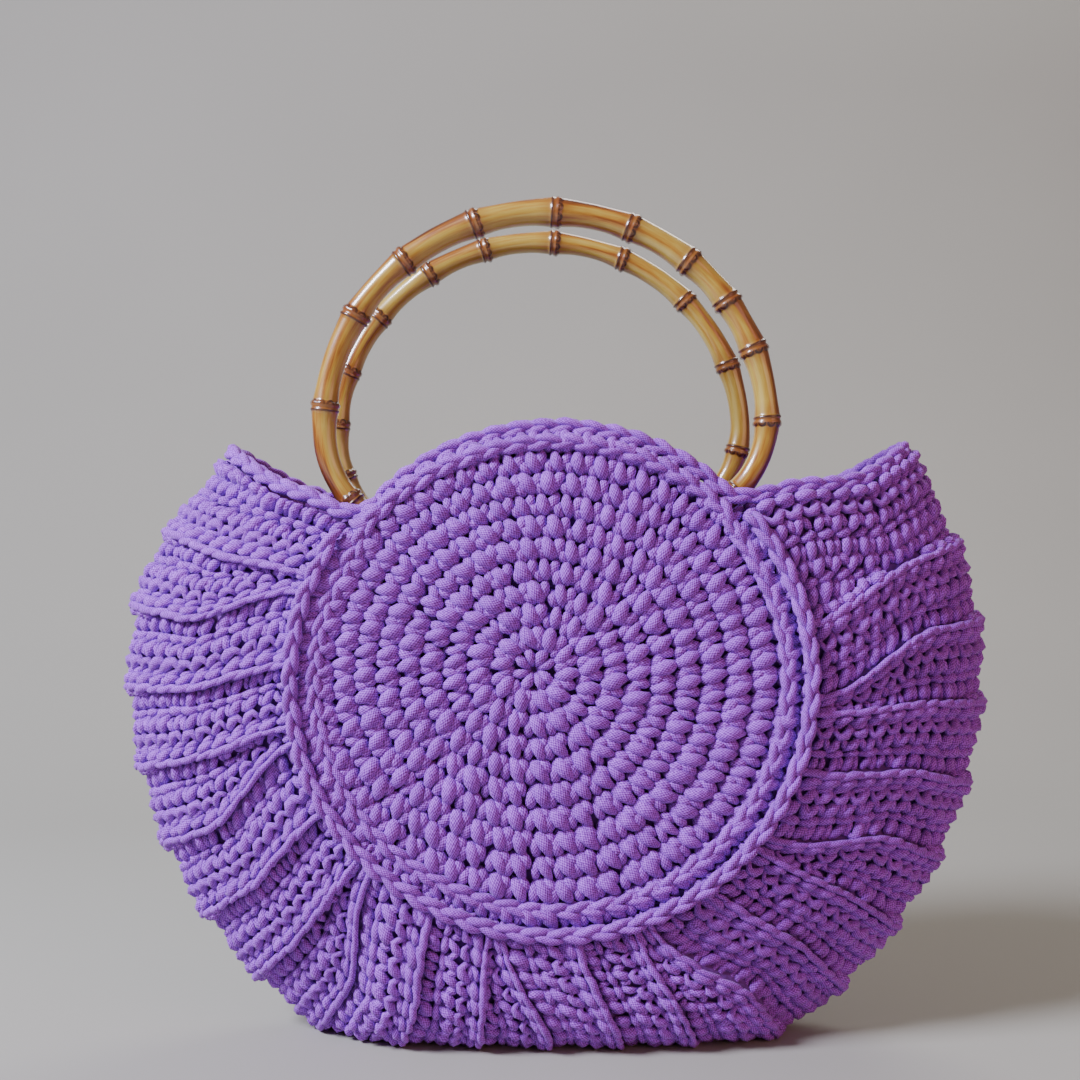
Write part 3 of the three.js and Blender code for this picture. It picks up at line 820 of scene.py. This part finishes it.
def hem_route(q, turn):
    """The chain's way down a hem of the strip, and the direction of its width there."""
    places = np.r_[0, HEM_PLACES, 1]
    middle = strip_surface(np.array([float(q)]), places, STRIP_THICKNESS / 2, ribbed=False)[0]
    along = unit(middle[2:] - middle[:-2])
    middle = middle[1:-1]
    outward = unit(middle * [1, 0, 1] - [0, 0, PANEL_CENTRE_Z])
    wide = np.stack([-outward[:, 2], 0 * outward[:, 0], outward[:, 0]], -1) * turn
    wide = unit(wide - along * np.sum(wide * along, 1, keepdims=True))
    point = middle + wide * (CLEARANCE + FACET_ALLOWANCE + CHAIN_WIDTH / 2)
    radius = np.hypot(point[:, 0], point[:, 2] - PANEL_CENTRE_Z)
    point += outward * np.maximum(MOUTH_RADIUS - radius, 0)[:, None]
    return point, wide


def mouth_arc(sign, first, last):
    """The chain's way over a panel's top, and the direction of its width there."""
    angles = np.radians(np.linspace(first, last, 17))
    wide = np.stack([np.cos(angles), 0 * angles, np.sin(angles)], -1)
    centre = [0, sign * (HALF_DEPTH - PANEL_THICKNESS / 2), PANEL_CENTRE_Z]
    return wide * MOUTH_RADIUS + centre, wide


def smooth_loop(points, steps=24):
    """A closed Catmull-Rom line through points, which ends where it starts."""
    n = len(points)
    t = np.arange(n * steps + 1) / steps
    i = t.astype(int)
    f = (t - i)[:, None]
    a, b, c, d = (points[(i + k) % n] for k in (-1, 0, 1, 2))
    bend, twist = 2 * a - 5 * b + 4 * c - d, 3 * b - a - 3 * c + d
    return 0.5 * (2 * b + (c - a) * f + bend * f ** 2 + twist * f ** 3)


left_arc, right_arc = LEFT_NOTCH - MOUTH_CORNER, RIGHT_NOTCH - 360 + MOUTH_CORNER
legs = [hem_route(0, -1), mouth_arc(1, left_arc, right_arc)]
right_points, right_wide = hem_route(RIB_COUNT + 1, 1)
legs += [(right_points[::-1], right_wide[::-1]), mouth_arc(-1, right_arc, left_arc)]
mouth_path, mouth_wide = (smooth_loop(np.concatenate(parts)) for parts in zip(*legs))
mouth_along = np.gradient(mouth_path, axis=0)
mouth_face = unit(np.cross(mouth_along, mouth_wide))
mouth_wide = unit(np.cross(mouth_face, mouth_along))
rng = np.random.default_rng(61)
links = []
for face, columns in ((mouth_face, MOUTH_OUTER_COLUMNS), (-mouth_face, MOUTH_INNER_COLUMNS)):
    links += chain_cords(rng, mouth_path, mouth_wide, face, EDGE_PITCH, True, columns)
mouth = lay_cords("mouth_links", links, CORD)
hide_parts("mouth_chain")
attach(mouth, "bag")

# The handles: a bamboo cane each, heated and bent to a closed D and varnished. The knuckles
# are the cane's joints, each a brown ridge with a row of small dark root scars.
POLE_RADIUS = 5.2
HANDLE_HALF_WIDTH = 102.3
HANDLE_ARCH = 98.0
HANDLE_CORNER = 48.0
BAR_HALF = HANDLE_HALF_WIDTH - HANDLE_CORNER
ARCH_LENGTH = math.pi * (HANDLE_HALF_WIDTH + HANDLE_ARCH) / 2
HANDLE_LENGTH = 2 * BAR_HALF + math.pi * HANDLE_CORNER + ARCH_LENGTH
HANDLE_ROLLS = {"front": 3.0, "back": 4.0}

# Where the knuckles are, in shares of the way round the D from the middle of its bar.
FRONT_KNUCKLES = [0.035, 0.1, 0.168, 0.249, 0.328, 0.387, 0.451, 0.516,
                  0.577, 0.63, 0.675, 0.72, 0.78, 0.845, 0.905, 0.965]
BACK_KNUCKLES = [0.035, 0.11, 0.199, 0.247, 0.296, 0.352, 0.41, 0.463,
                 0.524, 0.585, 0.652, 0.722, 0.8, 0.86, 0.905, 0.965]

# Rings of points along the pole: their distance apart, and closer ones about a knuckle, in mm.
RING_STEP = 3.0
RING_SIDES = 36
KNUCKLE_RINGS = np.array([-3.4, -2.4, -1.9, -1.6, -1.2, -0.6, 0.0, 0.8, 1.6, 2.3, 2.8, 3.3, 4.0])
KNUCKLE_REACH = 4.3

# Swellings about a knuckle: height, place along the cane and width, in mm.
NODE_SWELLING = (0.8, 0.0, 7.0)
SHEATH_SCAR = (0.65, -1.2, 0.7)
ROOT_SCARS = (0.3, 2.2, 1.0)
TILT_REACH = (1.0, 0.0, 5.0)
ROOT_RIDGE_HEIGHT = 0.8
SCAR_COUNT = 9

# The cane's tones from its darkest stain to its palest, and the colours of its knuckles. The
# lengths below them are in m, as the material reads them.
CANE_TONES = [
    (0.3, (0.075, 0.017, 0.0022, 1)), (0.42, (0.235, 0.077, 0.007, 1)),
    (0.5, (0.355, 0.184, 0.02, 1)), (0.58, (0.4, 0.27, 0.038, 1)), (0.68, (0.45, 0.34, 0.076, 1)),
]
KNUCKLE_TAN = (0.19, 0.053, 0.01, 1)
SCAR_BROWN = (0.045, 0.012, 0.006, 1)
FLANGE_LENGTH = 0.0016
SCORCH_LENGTH = 0.009
KNUCKLE_RADIUS = 0.0062


def handle_line(distance):
    """Points of the D's middle line in mm. It starts at the middle of the bar, at 0, 0, and
    goes round by the left side."""
    half = HANDLE_LENGTH / 2
    wrapped = distance % HANDLE_LENGTH
    side = np.where(wrapped <= half, -1.0, 1.0)
    d = np.where(wrapped <= half, wrapped, HANDLE_LENGTH - wrapped)
    corner = math.pi / 2 * HANDLE_CORNER
    a = np.clip((d - BAR_HALF) / HANDLE_CORNER, 0, math.pi / 2)
    b = np.clip((d - BAR_HALF - corner) / (ARCH_LENGTH / 2), 0, 1) * math.pi / 2
    on_arch = d > BAR_HALF + corner
    below_x = np.minimum(d, BAR_HALF) + HANDLE_CORNER * np.sin(a)
    below_z = HANDLE_CORNER * (1 - np.cos(a))
    x = np.where(on_arch, HANDLE_HALF_WIDTH * np.cos(b), below_x)
    z = np.where(on_arch, HANDLE_CORNER + HANDLE_ARCH * np.sin(b), below_z)
    return np.stack([side * x, 0 * x, z], -1)


def band(tree, value, centre, half, blur):
    """1 where a value is within half of a centre, and less over the blur beyond that."""
    away = number(tree, "ABSOLUTE", number(tree, "SUBTRACT", value, centre))
    past = number(tree, "DIVIDE", number(tree, "SUBTRACT", away, half), blur)
    return number(tree, "SUBTRACT", 1.0, past, clamp=True)


def bamboo_material():
    """Stained and streaked cane. Behind a knuckle's middle is the thin dark rim of the sheath's
    scar, and ahead of it a ring of root scars, each a dark eyelet with a pupil."""
    material, tree, shader = new_material("varnished_bamboo", 0.32)
    shader.inputs["Coat Weight"].default_value = 0.8
    shader.inputs["Coat Roughness"].default_value = 0.08
    place = tree.nodes.new("ShaderNodeSeparateXYZ")
    link(tree, attribute(tree, "around", "Vector"), place.inputs[0])
    along = attribute(tree, "along")
    near = attribute(tree, "near")
    side = attribute(tree, "side")
    streaks = tree.nodes.new("ShaderNodeCombineXYZ")
    link(tree, place.outputs["X"], streaks.inputs[0])
    link(tree, place.outputs["Y"], streaks.inputs[1])
    link(tree, number(tree, "MULTIPLY", along, 14.0), streaks.inputs[2])
    stain = noise(tree, streaks.outputs[0], 1.1, 3.0, 0.55)
    fibre = noise(tree, streaks.outputs[0], 9.0, 4.0, 0.6)
    ramp = tree.nodes.new("ShaderNodeValToRGB")
    tones = ramp.color_ramp.elements
    tones[0].position, tones[0].color = CANE_TONES[0]
    tones[1].position, tones[1].color = CANE_TONES[-1]
    for share, colour in CANE_TONES[1:-1]:
        tones.new(share).color = colour
    browned = attribute(tree, "tone")
    outer_side = number(tree, "MAXIMUM", place.outputs["X"], 0.0)
    outer_side = number(tree, "MULTIPLY_ADD", outer_side, -0.2, -0.07)
    sunned = number(tree, "MULTIPLY", browned, outer_side)
    stained = number(tree, "MULTIPLY_ADD", stain, 0.95, sunned)
    link(tree, number(tree, "MULTIPLY_ADD", fibre, 0.22, stained), ramp.inputs[0])
    ahead = number(tree, "GREATER_THAN", side, 0.0)
    behind = number(tree, "SUBTRACT", 1.0, ahead)
    reach = number(tree, "MULTIPLY_ADD", ahead, FLANGE_LENGTH, FLANGE_LENGTH)
    flange = number(tree, "LESS_THAN", near, reach)
    scorch = number(tree, "SUBTRACT", 1.0, number(tree, "DIVIDE", near, SCORCH_LENGTH), clamp=True)
    scorch = number(tree, "MULTIPLY", scorch, 0.55)
    tan = number(tree, "MAXIMUM", scorch, number(tree, "MULTIPLY", flange, 0.85))
    cane = mix_colour(tree, tan, ramp.outputs[0], KNUCKLE_TAN)
    angle = number(tree, "ARCTAN2", place.outputs["Y"], place.outputs["X"])
    scars = number(tree, "MULTIPLY", angle, SCAR_COUNT / (2 * math.pi))
    step = number(tree, "PINGPONG", scars, 0.5)
    sideways = number(tree, "MULTIPLY", step, 2 * math.pi * KNUCKLE_RADIUS / SCAR_COUNT)
    down = number(tree, "SUBTRACT", near, FLANGE_LENGTH)
    squares = [number(tree, "MULTIPLY", gap, gap) for gap in (sideways, down)]
    apart = number(tree, "SQRT", number(tree, "ADD", *squares))
    outer_half = number(tree, "MULTIPLY", ahead, number(tree, "GREATER_THAN", down, -0.0003))
    eyelet = number(tree, "MULTIPLY", band(tree, apart, 0.0015, 0.0004, 0.0003), outer_half)
    pupil = number(tree, "MULTIPLY", band(tree, apart, 0.0, 0.0006, 0.0005), outer_half)
    rim = number(tree, "MULTIPLY", band(tree, near, 0.0014, 0.0003, 0.0004), behind)
    wander = noise(tree, streaks.outputs[0], 2.5)
    wander = number(tree, "MULTIPLY_ADD", wander, 1.2, 0.25, clamp=True)
    scar = number(tree, "MAXIMUM", eyelet, rim)
    scar = number(tree, "MAXIMUM", scar, number(tree, "MULTIPLY", pupil, 0.7))
    scar = number(tree, "MULTIPLY", scar, wander)
    colour = mix_colour(tree, scar, cane, SCAR_BROWN)
    link(tree, colour, shader.inputs["Base Color"])
    height = number(tree, "MULTIPLY_ADD", fibre, 0.3, number(tree, "MULTIPLY", scar, -0.7))
    bump(tree, shader, height, 0.3, 0.0004)
    return material


BAMBOO = bamboo_material()


def swelling(d, height, place, width):
    return height * np.exp(-((d - place) / width) ** 2)


def handle_piece(shares, swell, seed):
    """A handle about the middle of its bar, as rings of points in mm, with what the material
    reads: each ring's place along the cane, its distance past the nearest knuckle and its tone,
    and the angles round it. The pole is thicker by swell at the top of its arch."""
    rng = np.random.default_rng(seed)
    knuckles = np.array(shares) * HANDLE_LENGTH
    even = np.arange(0, HANDLE_LENGTH, RING_STEP)
    close = (knuckles[:, None] + KNUCKLE_RINGS).ravel()
    far = np.abs(even[:, None] - knuckles).min(1) > KNUCKLE_REACH
    places = np.sort(np.concatenate([even[far], close]) % HANDLE_LENGTH)
    half = HANDLE_LENGTH / 2
    gaps = (places[:, None] - knuckles + half) % HANDLE_LENGTH - half
    nearest = np.abs(gaps).argmin(1)
    d = gaps[np.arange(len(places)), nearest]
    lumps = rng.normal(1, 0.2, len(knuckles))[nearest]
    root_ridge = ROOT_RIDGE_HEIGHT * ease((d - 0.1) / 0.9) * ease((3.3 - d) / 1.3)
    centre = handle_line(places)
    thicker = swell * ease(centre[:, 2] / (HANDLE_CORNER + HANDLE_ARCH))
    radius = POLE_RADIUS - 0.25 + thicker + swelling(d, *NODE_SWELLING)
    radius += lumps * (swelling(d, *SHEATH_SCAR) + root_ridge)
    radius += 0.12 * np.sin(places / 9.0) + 0.1 * np.sin(places / 23.0 + seed)
    ahead = unit(handle_line(places + 0.5) - handle_line(places - 0.5))
    outward = np.cross(ahead, [0, 1, 0])
    angles = 2 * math.pi * np.arange(RING_SIDES) / RING_SIDES
    tilt = rng.normal(0, 0.35, len(knuckles))[nearest] * swelling(d, *TILT_REACH)
    full = radius[:, None] + np.cos(angles * SCAR_COUNT) * swelling(d, *ROOT_SCARS)[:, None]
    ring = outward[:, None] * (full * np.cos(angles))[..., None]
    ring = ring + np.array([0, 1.0, 0]) * (full * np.sin(angles))[..., None]
    leant = ahead[:, None] * (tilt[:, None] * np.cos(angles))[..., None]
    points = centre[:, None] + ring + leant
    points = np.concatenate([points, points[:1]])
    internode = np.searchsorted(knuckles, places - 0.5) % len(knuckles)
    tones = rng.uniform(0, 1, len(knuckles))[internode]
    return points, places, d, tones, angles


def rolled(points, degrees):
    """Points turned in the handle's own plane, about the middle of its bar."""
    turn = math.radians(degrees)
    x = points[..., 0] * math.cos(turn) - points[..., 2] * math.sin(turn)
    z = points[..., 0] * math.sin(turn) + points[..., 2] * math.cos(turn)
    return np.stack([x, points[..., 1], z], -1)


def place_handle(side, shares, swell, seed):
    """Makes a handle at its joint's axis and keeps what its material reads."""
    points, places, d, tones, angles = handle_piece(shares, swell, seed)
    bar = next(j for j in frame["joints"] if j["child"] == f"{side}_grip_body")
    placed = rolled(points, HANDLE_ROLLS[side]) + np.array(bar["pos_m"]) / MM
    piece = grid_mesh(f"{side}_bamboo_handle", placed, BAMBOO, closed_rows=True)
    past = np.r_[d, d[0]]
    ring_values = {"along": np.r_[places, HANDLE_LENGTH] * MM, "near": np.abs(past) * MM,
                   "side": np.clip(past / 0.3, -1, 1), "tone": np.r_[tones, tones[0]]}
    for label, values in ring_values.items():
        store_values(piece.data, label, np.repeat(values, len(angles)))
    circle = np.stack([np.cos(angles), np.sin(angles), 0 * angles], -1)
    around = piece.data.attributes.new("around", "FLOAT_VECTOR", "POINT").data
    around.foreach_set("vector", np.tile(circle, (len(placed), 1)).astype(np.float32).ravel())
    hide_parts(f"{side}_handle")
    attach(piece, f"{side}_grip_body")


place_handle("front", FRONT_KNUCKLES, 0.9, 71)
place_handle("back", BACK_KNUCKLES, 0.1, 72)

# The lashings: the bag's own cord wound round each bar and sewn through the panel behind it,
# three to a bar. They stay on the bag, and the bar turns inside them.
WINDING_CORD = 4.3
WINDING_PITCH = 4.4
WINDING_CORD_RADIUS = 2.12
WINDING_RADIUS = 6.0 + WINDING_CORD / 2
WINDING_STEPS = 14
LASHING_LENGTHS = {"left": 19, "middle": 22, "right": 19}

for side in ("front", "back"):
    for label, length in LASHING_LENGTHS.items():
        node = f"{side}_lashing_{label}"
        low, high = (np.array(corner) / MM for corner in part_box(node))
        turns = length / WINDING_PITCH
        t = np.linspace(0, 1, int(turns * WINDING_STEPS))
        run = (t - 0.5) * (length - WINDING_CORD)
        angle = 2 * math.pi * turns * t
        line = np.stack([run, WINDING_RADIUS * np.sin(angle), WINDING_RADIUS * np.cos(angle)], -1)
        line = (rolled(line, HANDLE_ROLLS[side]) + (low + high) / 2)[None]
        winding = [(line, np.full(line.shape[:2], WINDING_CORD_RADIUS), np.array([0.5]))]
        piece = lay_cords(f"{node}_winding", winding, CORD, rings=len(t) * 2, sides=8)
        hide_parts(node)
        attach(piece, "bag")

# The studio: a pale floor that runs up into a pale wall, a soft lamp from the upper left, a
# weaker warm one from the right and one from behind, and a level camera in front of the bag.
FLOOR_FRONT_Y = -5000.0
BEND_START_Y = 500.0
BEND_RADIUS = 900.0
WALL_TOP = 3200.0
STAGE_HALF_WIDTH = 6000.0
stage_material, stage_tree, stage_shader = new_material("pale_stage", 0.7)
stage_coords = stage_tree.nodes.new("ShaderNodeTexCoord").outputs["Object"]
grain = noise(stage_tree, stage_coords, 3.0, 3.0)
pale = mix_colour(stage_tree, grain, (0.304, 0.306, 0.257, 1), (0.331, 0.333, 0.281, 1))
link(stage_tree, pale, stage_shader.inputs["Base Color"])
bend = np.linspace(0, math.pi / 2, 17)[1:, None]
curve = BEND_RADIUS * np.hstack([np.sin(bend), 1 - np.cos(bend)]) + [BEND_START_Y, 0]
profile = [(FLOOR_FRONT_Y, 0), (BEND_START_Y, 0), *curve, (BEND_START_Y + BEND_RADIUS, WALL_TOP)]
edges = (STAGE_HALF_WIDTH, -STAGE_HALF_WIDTH)
stage_grid = np.array([[(x, y, z) for x in edges] for y, z in profile])
stage = grid_mesh("studio_floor", stage_grid, stage_material)


# Each lamp's name, place and size in m, power in W and colour. All aim at the bag.
LAMPS = [
    ("soft_key", (-1.4, -0.85, 1.45), 0.65, 98, (0.965, 0.965, 1.22)),
    ("soft_fill", (1.4, -1.3, 0.7), 1.4, 12, (1, 0.43, 0.33)),
    ("soft_back", (0.5, 1.25, 1.6), 1.2, 19, (1, 0.99, 0.98)),
]
LAMP_TARGET = (0, 0, 0.2)
WORLD_COLOUR = (1.0, 0.85, 0.8, 1)
WORLD_STRENGTH = 0.23

for name, place, size, power, colour in LAMPS:
    light = bpy.data.lights.new(name, "AREA")
    light.shape = "DISK"
    light.size = size
    light.energy = power
    light.color = colour
    holder = bpy.data.objects.new(name, light)
    bpy.context.scene.collection.objects.link(holder)
    holder.location = place
    aim = np.array(LAMP_TARGET) - np.array(place)
    pitch = math.atan2(math.hypot(aim[0], aim[1]), -aim[2])
    holder.rotation_euler = (pitch, 0, math.atan2(aim[1], aim[0]) - math.pi / 2)

world = bpy.data.worlds.new("studio")
bpy.context.scene.world = world
world.use_nodes = True
background = world.node_tree.nodes["Background"]
background.inputs["Color"].default_value = WORLD_COLOUR
background.inputs["Strength"].default_value = WORLD_STRENGTH

FRAME_PIXELS = 1080
FOCAL_PIXELS = 1444.4
SENSOR_WIDTH = 36.0
camera_data = bpy.data.cameras.new("camera")
camera_data.sensor_width = SENSOR_WIDTH
camera_data.lens = SENSOR_WIDTH * FOCAL_PIXELS / FRAME_PIXELS
camera_data.clip_start = 0.05
camera = bpy.data.objects.new("camera", camera_data)
bpy.context.scene.collection.objects.link(camera)
camera.location = (-0.0075, -0.701, 0.236)
camera.rotation_euler = (math.pi / 2, 0, 0)
bpy.context.scene.camera = camera
